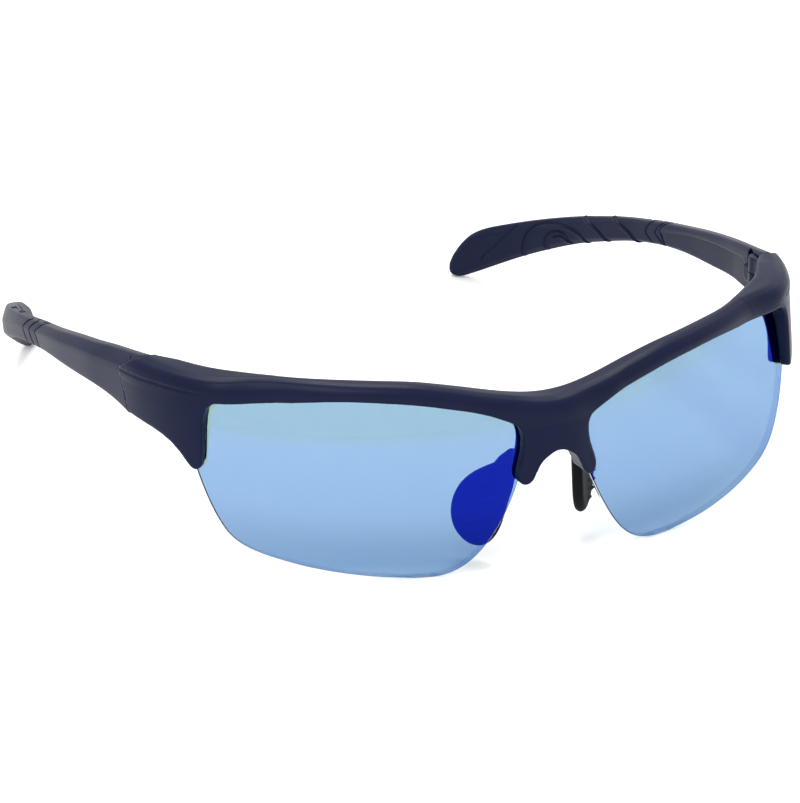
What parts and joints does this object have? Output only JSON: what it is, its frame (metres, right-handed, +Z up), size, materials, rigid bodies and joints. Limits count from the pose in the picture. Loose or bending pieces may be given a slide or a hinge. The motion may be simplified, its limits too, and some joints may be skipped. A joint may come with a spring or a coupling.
{
  "type": "sport sunglasses",
  "caption": "Wraparound semi-rimless sport sunglasses with mirrored blue lenses, rubber nose pads and temples that fold in on hinge screws.",
  "frame": {"origin": "centre of the bounding box's footprint, on the plane the glasses rest on", "axes": "+X towards the wearer's left, +Y from the lenses back towards the temple tips, +Z up"},
  "size_m": [0.1429, 0.1505, 0.0392],
  "materials": {
    "frame_plastic": "soft matte navy",
    "lens_blue": "tinted polycarbonate with a blue mirror coating",
    "pad_rubber": "soft matte black",
    "tip_rubber": "soft matte navy",
    "core_steel": "drawn wire",
    "screw_steel": "turned, slotted head"
  },
  "bodies": {
    "front": {"front_frame": "frame_plastic", "lens_right": "lens_blue", "lens_left": "lens_blue", "nose_pad_right": "pad_rubber", "nose_pad_left": "pad_rubber", "nose_pad_core_right": "core_steel", "nose_pad_core_left": "core_steel", "hinge_screw_right": "screw_steel", "hinge_screw_left": "screw_steel"},
    "temple_right": {"temple_arm_right": "frame_plastic", "temple_tip_right": "tip_rubber"},
    "temple_left": {"temple_arm_left": "frame_plastic", "temple_tip_left": "tip_rubber"}
  },
  "joints": [
    {"name": "temple_right_fold", "type": "hinge", "parent": "front", "child": "temple_right", "pos_m": [-0.0657, -0.032, 0.0328], "axis": [0, 0, 1], "range_deg": [-88, 0]},
    {"name": "temple_left_fold", "type": "hinge", "parent": "front", "child": "temple_left", "pos_m": [0.0657, -0.032, 0.0328], "axis": [0, 0, 1], "range_deg": [0, 79]}
  ]
}
